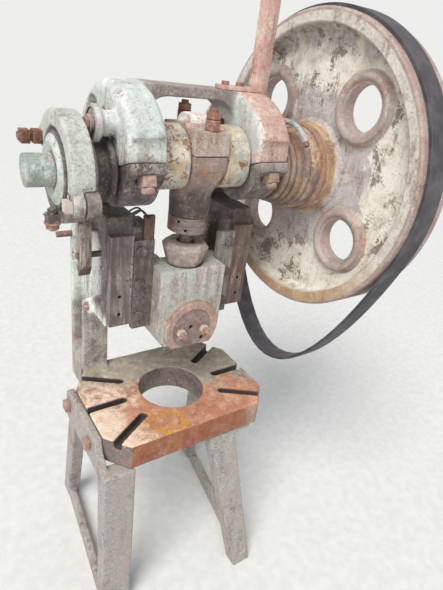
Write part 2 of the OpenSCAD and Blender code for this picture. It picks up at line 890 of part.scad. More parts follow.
module lock_rings() {
  color("#7c6a5e") for (i = [0, 1]) translate([0, 0, ring_z + i * (ring_h + 0.5)]) difference() {
    cylinder(r = ring_r, h = ring_h);
    translate([0, 0, -1]) cylinder(r = screw_r, h = ring_h + 2);
    for (a = [0 : 3]) translate([0, 0, ring_h / 2]) rotate([0, 90, 90 * a + 55 - 22 * i])
      translate([0, 0, ring_r - 12]) cylinder(r = 4, h = 20);
  }
}

module ball_nut() {
  low_r = 50;
  top_r = 62;
  cup_r = ball_r + 4;
  color("#94796a") translate([0, 0, nut_z]) difference() {
    intersection() {
      rotate_extrude() polygon([[0, 0], [low_r - 1, 0], [low_r, 14], [top_r - 2, 26], [top_r, 32],
        [top_r, 40], [top_r - 4, ball_nut_h - 8], [top_r - 12, ball_nut_h], [0, ball_nut_h]]);
      translate([0, 0, -1]) cylinder(r = top_r + 3, h = ball_nut_h + 2, $fn = 8);
    }
    translate([0, 0, ball_z - nut_z]) sphere(r = ball_r + slip);
    translate([0, 0, -1]) cylinder(r = cup_r, h = 21);
    translate([0, 0, 10]) cylinder(r = ball_r + slip, h = ball_z - nut_z - 10);
    cylinder(r = screw_r + 5, h = ball_nut_h + 1);
  }
}

module ball_cup() {
  color("#8a7d58") difference() {
    translate([0, 0, nut_z]) cylinder(r = ball_r + 4, h = 19.5);
    translate([0, 0, ball_z]) sphere(r = ball_r + slip);
  }
}

module ram() {
  belly_back = 34;
  seat_r = 52;
  color("#b4bdae") difference() {
    union() {
      translate([-ram_half_w, -ram_half_d, ram_bottom]) cube([2 * ram_half_w, 2 * ram_half_d, ram_top - ram_bottom]);
      translate([-wing_half_w, wing_front, ram_bottom]) cube([2 * wing_half_w, wing_back - wing_front, ram_top - ram_bottom]);
      rod_y(boss_r, -boss_front, belly_back, 0, clamp_z);
    }
    translate([-200, -200, ram_bottom - 100]) cube([400, 400, 100]);
    // Seat under the ball nut, open to the back
    translate([0, 0, seat_z]) cylinder(r = seat_r, h = 40);
    translate([-seat_r, 0, seat_z]) cube([2 * seat_r, ram_half_d + 1, 40]);
    // Corner cuts at the bottom
    both_sides() rotate([90, 0, 0]) translate([0, 0, -150]) linear_extrude(300)
      polygon([[ram_half_w - 20, ram_bottom - 1], [ram_half_w + 1, ram_bottom + 42], [ram_half_w + 90, ram_bottom + 42], [ram_half_w + 90, ram_bottom - 1]]);
    rod_y(clamp_r + slip, -boss_front - 1, 0, 0, clamp_z);
    translate([0, 0, ram_bottom - 1]) cylinder(r = shank_r, h = shank_depth + 1);
  }
}

module shank_clamp() {
  color("#86786c") difference() {
    rod_y(clamp_r, -boss_front + 3, -0.5, 0, clamp_z);
    translate([-100, -200, ram_bottom - 100]) cube([200, 400, 100]);
    translate([0, 0, ram_bottom - 1]) cylinder(r = shank_r, h = shank_depth + 1);
    clamp_stud_places() translate([0, 0, -1]) cylinder(r = 7, h = 200);
    rod_y(6, -boss_front, -boss_front + 20, -4, clamp_z + 6);
    rod_y(6, -boss_front, -boss_front + 20, 34, clamp_z - 36);
  }
}

module clamp_stud_places() {
  for (x = [-36, 36]) translate([x, -boss_front - 30, clamp_z - 6]) rotate([-90, 0, 0]) children();
}

module shank_clamp_studs() {
  color("#a0806a") clamp_stud_places() cylinder(r = 7, h = boss_front + 29.5);
}

module shank_clamp_nuts() {
  color("#b59a88") clamp_stud_places() translate([0, 0, 20]) difference() {
    cylinder(r = 14, h = 12.5, $fn = 6);
    translate([0, 0, -1]) cylinder(r = 7, h = 14);
  }
}

belt_front_a = 198;
belt_back_a = -18;

function ray(a) = [cos(a), sin(a)];

// The slack bight of the belt under the wheel, from its front to its back
function bight(n = 24) = let (
    p0 = wheel_r * ray(belt_front_a), p3 = wheel_r * ray(belt_back_a),
    p1 = p0 + 0.85 * wheel_r * ray(belt_front_a + 90),
    p2 = p3 + 2.6 * wheel_r * ray(belt_back_a - 90))
  [for (i = [0 : n]) let (t = i / n, u = 1 - t)
    p0 * u * u * u + 3 * p1 * t * u * u + 3 * p2 * t * t * u + p3 * t * t * t];

// The same line moved outwards by d
function moved(line, d) = let (n = len(line)) [for (i = [0 : n - 1])
  let (step = line[min(i + 1, n - 1)] - line[max(i - 1, 0)])
    i == 0 ? line[i] + d * ray(belt_front_a) :
    i == n - 1 ? line[i] + d * ray(belt_back_a) :
    line[i] + d * [step[1], -step[0]] / norm(step)];

function reversed(line) = [for (i = [len(line) - 1 : -1 : 0]) line[i]];

module belt_outline() {
  line = bight();
  far = 3 * wheel_r;
  difference() {
    circle(r = wheel_r + slip + belt_t, $fn = 240);
    circle(r = wheel_r + slip, $fn = 240);
    polygon([[0, 0], far * ray(belt_front_a), far * ray(270), far * ray(belt_back_a)]);
  }
  polygon(concat(moved(line, slip), reversed(moved(line, slip + belt_t))));
}

module drive_belt() {
  x0 = wheel_x + 20;
  color("#3c3b3d") along_x(x0, x0 + belt_w) translate([0, shaft_z]) belt_outline();
}

frame();
bearing_cap_left();
bearing_cap_right();
bearing_cap_studs();
bearing_cap_nuts();
main_bush_left();
main_bush_right();
leg_left();
leg_right();
leg_bolts();
gib_outer_left();
gib_outer_right();
gib_inner_left();
gib_inner_right();
gib_screws();
gib_post();
oil_pipe();
guard_bracket();
guard_bracket_bolts();
rear_pin();
link_disc();
link_disc_bolt();
trip_lever_pin();
trip_lever();
brake_strap();
brake_strap_lower();
brake_linings();
brake_hinge_pin();
brake_anchor_stud();
brake_anchor_nuts();
brake_adjusting_stud();
crankshaft();
brake_drum();
shaft_keys();
clutch_collar();
shaft_end_collar();
pitman();
pitman_cap();
pitman_studs();
pitman_nuts();
big_end_bush();
adjusting_screw();
lock_rings();
ball_nut();
ball_cup();
ram();
shank_clamp();
shank_clamp_studs();
shank_clamp_nuts();
flywheel();
flywheel_bush();
clutch_ring();
clutch_ring_bolts();
drive_belt();
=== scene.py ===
import json
import math

import bmesh
import bpy
from mathutils import Matrix, Vector


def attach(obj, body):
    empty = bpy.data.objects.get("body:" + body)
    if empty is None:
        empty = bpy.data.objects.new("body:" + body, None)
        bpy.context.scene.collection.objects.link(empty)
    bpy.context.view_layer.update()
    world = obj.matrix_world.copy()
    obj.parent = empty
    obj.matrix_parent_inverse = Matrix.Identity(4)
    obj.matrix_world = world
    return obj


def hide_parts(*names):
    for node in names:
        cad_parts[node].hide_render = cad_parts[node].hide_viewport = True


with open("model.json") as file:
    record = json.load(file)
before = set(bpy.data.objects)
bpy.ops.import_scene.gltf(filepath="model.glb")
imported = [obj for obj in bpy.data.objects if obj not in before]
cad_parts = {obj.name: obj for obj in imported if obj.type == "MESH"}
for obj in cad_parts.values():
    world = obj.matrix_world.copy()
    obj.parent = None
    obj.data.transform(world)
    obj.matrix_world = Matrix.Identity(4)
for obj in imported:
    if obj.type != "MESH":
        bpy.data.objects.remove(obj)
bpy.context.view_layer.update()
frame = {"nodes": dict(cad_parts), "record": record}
NODES = frame["nodes"]
BODIES = frame["record"]["behaviour"]["bodies"]
BODY_OF = {node: body for body, nodes in BODIES.items() for node in nodes}

# Places on the press, in metres and degrees
FLOOR_Z = -0.66
SHAFT_Z = 0.676
JOURNAL_R = 0.036
CLAMP_Z = 0.255
BED_HALF_W = 0.267
BED_FRONT = 0.182
BED_BACK = 0.208
DIE_BORE_R = 0.100
WHEEL_RIM_R = 0.362
WHEEL_HUB_R = 0.123
WHEEL_HOLES_R = 0.242
WHEEL_HOLES_TURN = 41
BALL_NUT_Z = 0.424
BALL_NUT_HEIGHT = 0.062


# Colours and shader maths

def shade(colour):
    """A linear colour from six hexadecimal digits. A mixed colour passes through."""
    if isinstance(colour, Field):
        return colour
    parts = [int(colour[i:i + 2], 16) / 255 for i in (0, 2, 4)]
    return tuple([c / 12.92 if c <= 0.04045 else ((c + 0.055) / 1.055) ** 2.4 for c in parts] + [1.0])


def apart(across, up):
    """The distance that two lengths at right angles span."""
    return (across * across + up * up).root()


class Field:
    """A shader value that can be written into sums."""

    def __init__(self, finish, socket):
        self.finish = finish
        self.socket = socket

    def maths(self, operation, other=0.0):
        return self.finish.node("ShaderNodeMath", {"operation": operation}, {0: self, 1: other})

    def __add__(self, other):
        return self.maths("ADD", other)

    __radd__ = __add__

    def __mul__(self, other):
        return self.maths("MULTIPLY", other)

    __rmul__ = __mul__

    def __sub__(self, other):
        return self.maths("SUBTRACT", other)

    def __rsub__(self, other):
        return self.finish.node("ShaderNodeMath", {"operation": "SUBTRACT"}, {0: other, 1: self})

    def __neg__(self):
        return self.maths("MULTIPLY", -1.0)

    def __abs__(self):
        return self.maths("ABSOLUTE")

    def most(self, other):
        return self.maths("MAXIMUM", other)

    def least(self, other):
        return self.maths("MINIMUM", other)

    def root(self):
        return self.maths("SQRT")

    def above(self, low, high):
        """0 below low, 1 above high, smooth between them."""
        return self.finish.node(
            "ShaderNodeMapRange", {"interpolation_type": "SMOOTHSTEP"},
            {"Value": self, "From Min": low, "From Max": high})

    def below(self, low, high):
        """1 below low, 0 above high, smooth between them."""
        return 1 - self.above(low, high)

    def lines(self, low, high, where):
        """Thin lines along the zeros of this value, left out where the other value is low."""
        return abs(self).below(low, high) * (where * 3.0 + 0.5).least(1.0).most(0.0)


class Finish:
    """One procedural finish: its material, its shader and the nodes that feed it."""

    def __init__(self, name):
        self.material = bpy.data.materials.new(name)
        self.material.use_nodes = True
        self.tree = self.material.node_tree
        self.tree.nodes.clear()
        out = self.tree.nodes.new("ShaderNodeOutputMaterial")
        self.shader = self.tree.nodes.new("ShaderNodeBsdfPrincipled")
        self.tree.links.new(self.shader.outputs[0], out.inputs[0])
        self.place = self.node("ShaderNodeTexCoord", {}, {}, "Object")
        self.x, self.y, self.z = (
            self.node("ShaderNodeSeparateXYZ", {}, {0: self.place}, axis) for axis in range(3))

    def node(self, kind, settings, inputs, output=0):
        made = self.tree.nodes.new(kind)
        for key, value in settings.items():
            setattr(made, key, value)
        for key, value in inputs.items():
            self.feed(made.inputs[key], value)
        return Field(self, made.outputs[output])

    def feed(self, socket, value):
        if isinstance(value, Field):
            self.tree.links.new(value.socket, socket)
        else:
            socket.default_value = value

    def noise(self, scale, detail, rough, twist=0.0, at=None):
        """Noise about 0, mostly between -0.2 and 0.2."""
        return self.node(
            "ShaderNodeTexNoise", {},
            {"Vector": at or self.place, "Scale": scale, "Detail": detail, "Roughness": rough,
             "Distortion": twist}) - 0.5

    def stretched(self, scale):
        """The place on the piece, with its own scale along each axis."""
        return self.node("ShaderNodeMapping", {}, {"Vector": self.place, "Scale": scale})

    def mix(self, share, first, second):
        """Colour first where share is 0, and second where it is 1."""
        made = self.tree.nodes.new("ShaderNodeMix")
        made.data_type = "RGBA"
        # A Mix node's colour sockets are 6 and 7, and its colour comes out at 2
        for socket, value in ((0, share), (6, shade(first)), (7, shade(second))):
            self.feed(made.inputs[socket], value)
        return Field(self, made.outputs[2])

    def over(self, share, tones, colours):
        """The tones, each with its own colour laid over it where share is 1."""
        return [self.mix(share, tone, colour) for tone, colour in zip(tones, colours)]

    def blend(self, share, first, second):
        """Number first where share is 0, and second where it is 1."""
        return share * (second - first) + first

    def rounded(self, radius):
        return self.node("ShaderNodeBevel", {"samples": 4}, {"Radius": radius})

    def edges(self, radius):
        """About 1 on the sharp edges of a piece and 0 on its flats."""
        normal = self.node("ShaderNodeNewGeometry", {}, {}, "Normal")
        along = self.node(
            "ShaderNodeVectorMath", {"operation": "DOT_PRODUCT"},
            {0: self.rounded(radius), 1: normal}, "Value")
        return ((1 - along) * 5.0).least(1.0)

    def hollow_shade(self, reach):
        """Towards 1 in the inner corners and recesses of a piece, where it paints shade into a colour."""
        return 1 - self.node(
            "ShaderNodeAmbientOcclusion", {"samples": 6, "only_local": True}, {"Distance": reach}, "AO")

    def from_shaft(self):
        """Distance from the crankshaft's axis."""
        return apart(self.y, self.z - SHAFT_Z)

    def surface(self, colour, rough, height, depth, radius, metal=0.0):
        """The material, with relief of this depth and its edges rounded by radius."""
        normal = self.node(
            "ShaderNodeBump", {}, {"Distance": depth, "Height": height, "Normal": self.rounded(radius)})
        for socket, value in (
                ("Base Color", colour), ("Roughness", rough), ("Metallic", metal), ("Normal", normal)):
            self.feed(self.shader.inputs[socket], value)
        return self.material


# Finishes

def old_paint(f, paint, second, stain, bare, rust, cover=0.8, staining=0.4, rusting=0.3, grime=0.3,
              fleck=30.0, radius=0.0025, crisp=0.05, soot="3a322e", scraping=0.6):
    """Two tones of old paint on a rough casting, stained, flaked to the iron, scraped, rusty and grimy, with
    painted shade in its hollows.
    """
    broad = f.noise(6.0, 5, 0.6, 0.5)
    flakes = f.noise(fleck, 8, 0.72, 0.5)
    fine = f.noise(150.0, 6, 0.75)
    grain = f.noise(420.0, 3, 0.65)
    runs = f.noise(1.0, 5, 0.65, at=f.stretched((46, 46, 7)))
    blotch = f.noise(19.0, 7, 0.66, 0.8)
    edge = f.edges(radius * 1.5)
    # Paint
    tone = f.mix((blotch * 1.2 + flakes * 0.6 + fine * 0.3).above(-0.10, 0.14), paint, second)
    stained = broad * 0.8 + runs * 0.9 + blotch * 0.6 + fine * 0.3 + (staining - 0.5) * 0.42
    tone = f.mix(stained.above(-0.05, 0.18) * 0.8, tone, stain)
    tone = f.mix((fine + grain * 0.8).above(0.04, 0.24) * 0.5, tone, bare)
    tone = f.mix((flakes * 0.6 - fine * 0.9 - grain * 0.5).above(0.06, 0.24) * 0.45, tone, "ece9e2")
    scrape = f.noise(64.0, 5, 0.62, 1.4).lines(0.006, 0.024, blotch) * scraping
    tone = f.mix(scrape, tone, "efece6")
    crack = f.noise(38.0, 6, 0.66, 1.2).lines(0.002, 0.013, flakes) * scraping
    tone = f.mix(crack, tone, f.mix(0.5, stain, soot))
    # Bare iron, where the paint has gone, with a dark rim round each flake
    wear = broad * 0.55 + flakes * 0.85 + fine * 0.3 + edge * 0.10 - (cover - 0.5) * 0.5
    gone = wear.above(-0.5 * crisp, 0.5 * crisp)
    iron = f.mix((flakes * 0.7 + fine * 0.9).above(-0.12, 0.18), bare, rust)
    colour = f.mix(gone, tone, iron)
    colour = f.mix(abs(wear).below(0.0, 0.018) * 0.45, colour, soot)
    # Rust spots and grime over both, and painted shade with grime in the hollows
    spots = (blotch * 0.7 + fine + runs * 0.4 + (rusting - 0.5) * 0.4 + edge * 0.05).above(0.02, 0.14)
    colour = f.mix(spots * 0.75, colour, rust)
    dirty = (broad * 0.7 + runs * 0.6 + fine * 0.4 + (grime - 0.5) * 0.4).above(-0.02, 0.18)
    colour = f.mix(dirty * 0.8, colour, soot)
    # Grime in the hollows, darkened there as painted shade
    grime_and_shade = (f.hollow_shade(0.035) + flakes * 0.5 + broad * 0.3).above(0.22, 0.62)
    colour = f.mix(grime_and_shade * 0.75, colour, soot)
    colour = f.mix((grain + fine * 0.8).above(0.08, 0.30) * 0.55, colour, soot)
    height = grain * 0.4 + fine * 0.7 + flakes * 0.30 - gone * 0.18 - crack * 0.12 + scrape * 0.05
    rough = 0.68 + gone * 0.12 - dirty * 0.12 + fine * 0.4
    return f.surface(colour, rough, height, 0.004, radius)


def greasy_steel(name, light, dark, rust, rusting=0.3, shine=0.3, lie=(60, 60, 60), grease=0.3, right=None):
    """Machined iron, oily, scratched and rusty, with painted shade in its hollows. right: light, dark and
    rust of the pieces on that side.
    """
    f = Finish(name)
    oil, radius = "2c2623", 0.001
    if right:
        light, dark, rust = f.over(f.x.above(-0.01, 0.01), (light, dark, rust), right)
    broad = f.noise(12.0, 5, 0.6, 0.5)
    fine = f.noise(170.0, 6, 0.75)
    scratches = f.noise(1.0, 6, 0.7, at=f.stretched(lie))
    tone = f.mix((broad + scratches * 1.1 + fine * 0.6).above(-0.16, 0.18), dark, light)
    tone = f.mix((scratches * 1.2 - fine * 0.8).above(0.10, 0.26) * 0.4, tone, "d5c9bf")
    tone = f.mix(f.edges(radius * 2.5) * 0.5, tone, "bcaa9c")
    rusty = (f.noise(26.0, 8, 0.7, 0.6) * 0.9 + fine * 0.7 + (rusting - 0.5) * 0.4).above(-0.05, 0.12)
    colour = f.mix(rusty * 0.85, tone, rust)
    greased = (broad * 0.8 + fine * 0.8 + scratches * 0.3 + (grease - 0.5) * 0.4).above(0.0, 0.18)
    colour = f.mix(greased * 0.7, colour, oil)
    # Grease caked in the hollows, darkened there as painted shade
    grime_and_shade = (f.hollow_shade(0.015) + fine * 0.5 + broad * 0.3).above(0.22, 0.60)
    colour = f.mix(grime_and_shade * 0.7, colour, oil)
    rough = 0.46 + rusty * 0.28 + fine * 0.5 + (0.5 - shine) * 0.3
    height = fine * 0.8 + scratches * 0.5 + rusty * 0.1
    return f.surface(colour, rough, height, 0.002, radius, metal=(1 - rusty) * shine)


def frame_paint():
    f = Finish("frame_paint")
    shift = f.noise(8.0, 6, 0.66, 0.6)
    wide = f.noise(3.5, 5, 0.62, 0.5)
    soot = "3f3633"
    high = (f.z + shift * 0.20).above(0.60, 0.68)
    tones = f.over(high, ("948a81", "b4aea5", "81736a"), ("ced7d0", "f0efea", "a6978b"))
    rust = f.mix(high, "7d6455", "8f7460")
    # The right arm has lost its green and is reddish
    right = (f.x + shift * 0.03).above(0.125, 0.135) * high
    tones = f.over(right, tones, ("c69f90", "dcc0b3", "b58270"))
    # The bridge is plain grey-brown iron
    bridge = (abs(f.x) + shift * 0.05).below(0.100, 0.135) * high
    tones = f.over(bridge, tones, ("91877f", "a2978e", "95755f"))
    # Old oil has run from the bearings over the guide ways
    oiled = (f.z + shift * 0.16).below(0.63, 0.74) * (f.y - f.z * 0.4 + shift * 0.2).below(-0.04, 0.0)
    oiled = oiled * f.z.above(0.26, 0.30)
    paint, second, stain = f.over(oiled, tones, ("6f6460", "847976", "5b4e4a"))
    # The insides of the columns are painted darker as painted shade, and the left column's outside is pale
    inner = abs(f.x).below(0.190, 0.196) * (1 - high)
    paint = f.mix(inner * 0.6, paint, "6b605a")
    pale = f.x.below(-0.18, -0.15) * (f.z + shift * 0.2).above(0.17, 0.26) * (1 - oiled)
    paint, second = f.over(pale, (paint, second), ("cbd1c9", "efefea"))
    # The table, rusty in front and grey behind, with a splash of ochre
    bed = f.z.below(0.001, 0.03)
    forward = (shift * 0.5 - f.y - f.x * 0.30).above(-0.05, 0.06)
    left = (f.x - shift * 0.35).below(-0.20, -0.10)
    splash = apart(f.x + 0.085, f.y + 0.135) + shift * 0.22
    ochre = splash.below(0.040, 0.052) * (splash + f.noise(40.0, 5, 0.7) * 0.06).above(0.012, 0.034)
    rusty = f.over(left, ("b8795a", "cb9874"), ("e4c4a9", "f0dac3"))
    table = f.over(forward, ("a29684", "bdb1a0"), rusty)
    table = f.over(ochre, table, ("c98f35", "b8782c"))
    # Its sides: orange in front, with dark slanted corners and a duller lower edge, and grey behind
    side = f.z.below(-0.008, -0.004)
    # How far a place lies inside the line of each slanted corner
    left_corner, right_corner = (f.x * run + f.y * 0.640 + 0.2794 for run in (0.768, -0.768))
    rightward = (f.x + shift * 0.4).above(0.10, 0.24)
    slant = left_corner.least(f.x + (BED_HALF_W - 0.003)).below(0.0015, 0.0035)
    lower_edge = (f.z + shift * 0.06).below(-0.086, -0.068)
    behind = (f.y + shift * 0.2).above(-0.03, 0.05)
    apron = f.over(rightward, ("904d30", "a06332"), ("a08270", "b39a86"))
    apron = f.over(slant, apron, ("6f6661", "857b76"))
    apron[0] = f.mix(lower_edge * (1 - slant), apron[0], "86634f")
    apron = f.over(behind, apron, ("9c9187", "bdb4aa"))
    table = f.over(side, table, apron)
    # Within its outline, only the bore and the slots lie lower than its top
    margin = 0.005
    within = (BED_HALF_W - margin - abs(f.x)).least(f.y + (BED_FRONT - margin)).least(BED_BACK - margin - f.y)
    within = within.least(left_corner.least(right_corner) - 0.004)
    drilled = apart(f.x, f.y).below(DIE_BORE_R + 0.004, DIE_BORE_R + 0.006)
    sunk = within.above(0.0, 0.001).most(drilled) * side
    # The walls of the bore and the slots are painted dark, as painted shade in these recesses
    recess_shade = f.over(drilled, ("5a4a43", "453833"), ("84736b", "6c5b54"))
    table = f.over(sunk, table, recess_shade)
    paint, second = f.over(bed, (paint, second), table)
    # Their stain is dark too, as painted shade
    stain = f.mix(bed, stain, f.mix(sunk, f.mix(forward, "86796c", "a2684c"), "4a3c37"))
    grime = f.blend(oiled, f.blend(high, 0.34, 0.20), 0.55)
    # More soot in the bore and the slots adds to the painted shade there
    return old_paint(
        f, paint, second, stain, "7b706a", rust,
        cover=f.blend(bed, f.blend(high, 0.80, 0.84) + wide * 0.5, 1.0),
        staining=f.blend(right, 0.46, 0.62), rusting=f.blend(bed, 0.24, 0.16),
        grime=f.blend(bed, grime, f.blend(sunk, 0.16, 0.5)), fleck=26.0, radius=0.003, soot=soot,
        scraping=f.blend(bed, f.blend(oiled, 0.75, 0.25), 0.10))


def wheel_paint():
    f = Finish("wheel_paint")
    r = f.from_shaft()
    shift = f.noise(8.0, 7, 0.68, 0.7)
    rim = r.above(WHEEL_RIM_R, WHEEL_RIM_R + 0.004)
    brim = (r + shift * 0.01).above(0.388, 0.392)
    hub = (r + shift * 0.02).below(WHEEL_HUB_R, WHEEL_HUB_R + 0.005)
    patch = f.noise(13.0, 5, 0.65, 0.5).above(0.02, 0.10)
    from_hole = None
    for i in range(4):
        angle = math.radians(WHEEL_HOLES_TURN + 90 * i)
        hole_y, hole_z = WHEEL_HOLES_R * math.cos(angle), SHAFT_Z + WHEEL_HOLES_R * math.sin(angle)
        away = apart(f.y - hole_y, f.z - hole_z)
        from_hole = away if from_hole is None else from_hole.least(away)
    lip = (from_hole + shift * 0.02).below(0.090, 0.096)
    outer = ((r + shift * 0.34).above(0.215, 0.235) - rim).most(0.0)
    top = ((f.z + f.y * 0.25 + shift * 0.3).above(0.93, 0.99) - rim).most(0.0)
    low = (f.z + shift * 0.4).below(0.36, 0.52)
    right = (f.x + shift * 0.06).above(0.335, 0.350)
    tones = f.over(outer, ("c6bfba", "b1a8a4"), ("efe9dc", "dcd2be"))
    tones[0] = f.mix(top * 0.75, tones[0], "8f8782")
    tones = f.over(lip, tones, ("a8968d", f.mix(patch, "bba89e", "b07e70")))
    tones = f.over(rim, tones, f.over(low, ("dad3c7", "c5bbaf"), ("b39372", "c7a883")))
    tones = f.over(brim, tones, ("a98e84", "bca69c"))
    tones = f.over(hub, tones, f.over(right, ("a1765c", "8d7468"), ("c3a27c", "d6bd93")))
    stain = f.mix(hub, f.mix(outer, "9a7f74", "a39384"), "8f6047")
    stain = f.mix(lip, stain, "8c7268")
    stain = f.mix(rim, stain, f.mix(low, "9b8775", "94683f"))
    bare = f.mix(outer, "8d8480", "aaa09a")
    rust = f.mix(outer * (1 - patch), "a5705a", "8d7f76")
    return old_paint(
        f, *tones, stain, bare, rust, cover=f.blend(rim.most(lip), f.blend(outer, 0.95, 0.64), 1.0),
        staining=f.blend(hub, 0.34, 0.60), rusting=0.20, grime=f.blend(top, 0.18, 0.45),
        fleck=15.0, radius=0.002, crisp=0.02, soot="4a413d", scraping=f.blend(outer, 0.25, 0.5))


def simple_paint(name, paint, second, stain, bare, rust, **more):
    return old_paint(Finish(name), paint, second, stain, bare, rust, **more)


def pitman_paint():
    f = Finish("pitman_paint")
    low = (f.z + f.noise(12.0, 5, 0.6, 0.5) * 0.12).below(0.60, 0.66)
    left = (f.x + f.noise(20.0, 5, 0.6) * 0.05).below(-0.03, 0.0)
    oily = f.over(left, ("7c6d69", "94847d"), ("514645", "64574f"))
    tones = f.over(low, ("978177", "a88f81"), oily)
    return old_paint(
        f, *tones, f.mix(low, "99705a", "594b46"), "7f6c62", "9f6a4c", cover=0.85, staining=0.50,
        rusting=0.34, grime=f.blend(low, 0.16, 0.45), fleck=40.0, radius=0.003,
        scraping=f.blend(low, 0.35, 0.12))


def pitman_cap_paint():
    f = Finish("pitman_cap_paint")
    white = (f.z + f.noise(16.0, 6, 0.66, 0.5) * 0.06).above(0.782, 0.792)
    back = (f.y + f.noise(20.0, 5, 0.6) * 0.06).above(0.0, 0.03)
    tones = f.over(back, ("b7a195", "d2c5bc"), ("a58273", "b99c8d"))
    tones = f.over(white, tones, ("e2ddd7", "f5f2ee"))
    return old_paint(
        f, *tones, "a3806c", "8f7e74", "a36f55", cover=f.blend(white, 0.78, 1.0), staining=0.42,
        rusting=0.28, grime=0.12, fleck=40.0, radius=0.003)


def strap_paint():
    f = Finish("strap_paint")
    low = (f.z + f.noise(12.0, 5, 0.6, 0.5) * 0.12).below(0.605, 0.655)
    # Darker towards the bottom, partly painted shade and partly grime
    tones = f.over(low, ("cbcac3", "b7bfb2"), ("9d948d", "857b76"))
    return old_paint(
        f, *tones, f.mix(low, "aa9c93", "75685f"), "857b74", "8a6c5c", cover=0.85, staining=0.42,
        rusting=0.30, grime=f.blend(low, 0.20, 0.32), fleck=60.0, scraping=f.blend(low, 0.7, 0.3))


def ram_paint():
    f = Finish("ram_paint")
    shift = f.noise(16.0, 6, 0.66, 0.6)
    boss = (apart(f.x, f.z - CLAMP_Z) + shift * 0.02).below(0.080, 0.087) * f.y.below(-0.06, -0.04)
    worn = (f.edges(0.006) + shift * 1.5).above(0.25, 0.7)
    tones = f.over(worn, ("b7beb4", "cac7be"), ("a8958a", "bca99d"))
    tones = f.over(boss, tones, ("a98d80", "bf9f90"))
    return old_paint(
        f, *tones, f.mix(boss, "a08f84", "93604c"), "8d8078", "937264", cover=0.92, staining=0.55,
        rusting=0.30, grime=0.24, fleck=34.0, scraping=0.4)


def lever_paint():
    f = Finish("lever_paint")
    grain = f.noise(1.0, 4, 0.6, at=f.stretched((70, 70, 5)))
    tip = (f.z + grain * 0.05).below(0.392, 0.408)
    streaks = f.mix(grain.above(-0.05, 0.05), "d3cbc2", "85705f")
    tones = f.over(tip, (streaks, "b5a698"), ("5f5049", "6b5a52"))
    return old_paint(
        f, *tones, "7d6555", "756860", "8a6654", cover=0.8, staining=0.45, rusting=0.30, grime=0.30,
        fleck=50.0, scraping=0.3)


def cap_paint():
    f = Finish("cap_paint")
    face = (f.z - f.y * 0.3 + f.noise(14.0, 5, 0.6, 0.5) * 0.1).above(0.715, 0.755)
    tones = f.over(face, ("6f6462", "857977"), ("9d9186", "b9b2a6"))
    return old_paint(
        f, *tones, "5d504d", "5c5250", "775a4c", cover=0.80, staining=0.52, rusting=0.26, grime=0.38,
        fleck=28.0, radius=0.003, scraping=0.35)


def belt_rubber():
    f = Finish("belt_rubber")
    fine = f.noise(300.0, 4, 0.6)
    dust = f.noise(14.0, 6, 0.65, 0.4)
    colour = f.mix((dust + fine * 0.3).above(-0.1, 0.2), "3a373c", "5c575c")
    colour = f.mix(f.edges(0.003) * 0.4, colour, "827b7a")
    return f.surface(colour, 0.62 + fine * 0.3, fine, 0.0008, 0.001)


def drum_finish():
    f = Finish("drum_iron")
    flange = f.x.below(-0.3395, -0.3385)
    lip = f.x.above(-0.2820, -0.2812) * f.x.below(-0.2705, -0.2700)
    tones = f.over(flange, ("4b4443", "676060"), ("bac6bd", "d9dbd4"))
    tones = f.over(lip, tones, ("a5968f", "b9aba6"))
    return old_paint(
        f, *tones, f.mix(flange, "5f5450", "9c8f88"), "5f5754", "7a5a45", cover=0.85, staining=0.42,
        rusting=0.20, grime=f.blend(flange.most(lip), 0.45, 0.12), scraping=0.4)


def shaft_finish():
    f = Finish("crankshaft_paint")
    stub = f.x.below(-0.345, -0.343)
    webs = f.from_shaft().above(JOURNAL_R + 0.0005, JOURNAL_R + 0.001)
    tint = f.noise(15.0, 5, 0.62, 0.6)
    web_paint = f.mix(tint.above(-0.04, 0.06), "c2ac86", "a9afa4")
    web_second = f.mix(tint.above(0.0, 0.10), "e0d9c8", "cfc7b4")
    tones = f.over(webs, ("6a625e", "504844"), (web_paint, web_second))
    tones = f.over(stub, tones, ("95a39a", "d3d6d0"))
    stain, bare, rust = f.over(stub, ("9b8678", "aa7c5a", "9c6a45"), ("a3938c", "8a8078", "8a6a58"))
    return old_paint(
        f, *tones, stain, bare, rust, cover=f.blend(stub, 0.60, 0.80), staining=0.45, rusting=0.32,
        grime=0.20, fleck=42.0, radius=0.004, scraping=f.blend(stub, 0.6, 1.0))


def hub_finish():
    f = Finish("hub_rust")
    rings = f.noise(1.0, 4, 0.6, at=f.stretched((260, 6, 6)))
    right = (f.x + f.noise(14.0, 5, 0.6, 0.5) * 0.10).above(0.285, 0.315)
    under = (f.z + f.noise(10.0, 4, 0.6) * 0.2).below(0.63, 0.72)
    ochre = (f.noise(24.0, 7, 0.7, 0.8) + f.noise(7.0, 3, 0.5) * 0.5).above(0.06, 0.11)
    paint = f.mix(rings.above(-0.1, 0.1), f.mix(right, "94786a", "98766a"), "7d6d68")
    second = f.mix(ochre, f.mix(right, "a89080", "c9b190"), f.mix(right, "c08a45", "d2ab6c"))
    tones = f.over(under, (paint, second), ("75655f", "b39a7c"))
    return old_paint(
        f, *tones, "7c5c4a", "8d827d", "a5693a", cover=0.85, staining=0.42, rusting=0.40, grime=0.28,
        fleck=26.0, radius=0.0015, scraping=0.25)


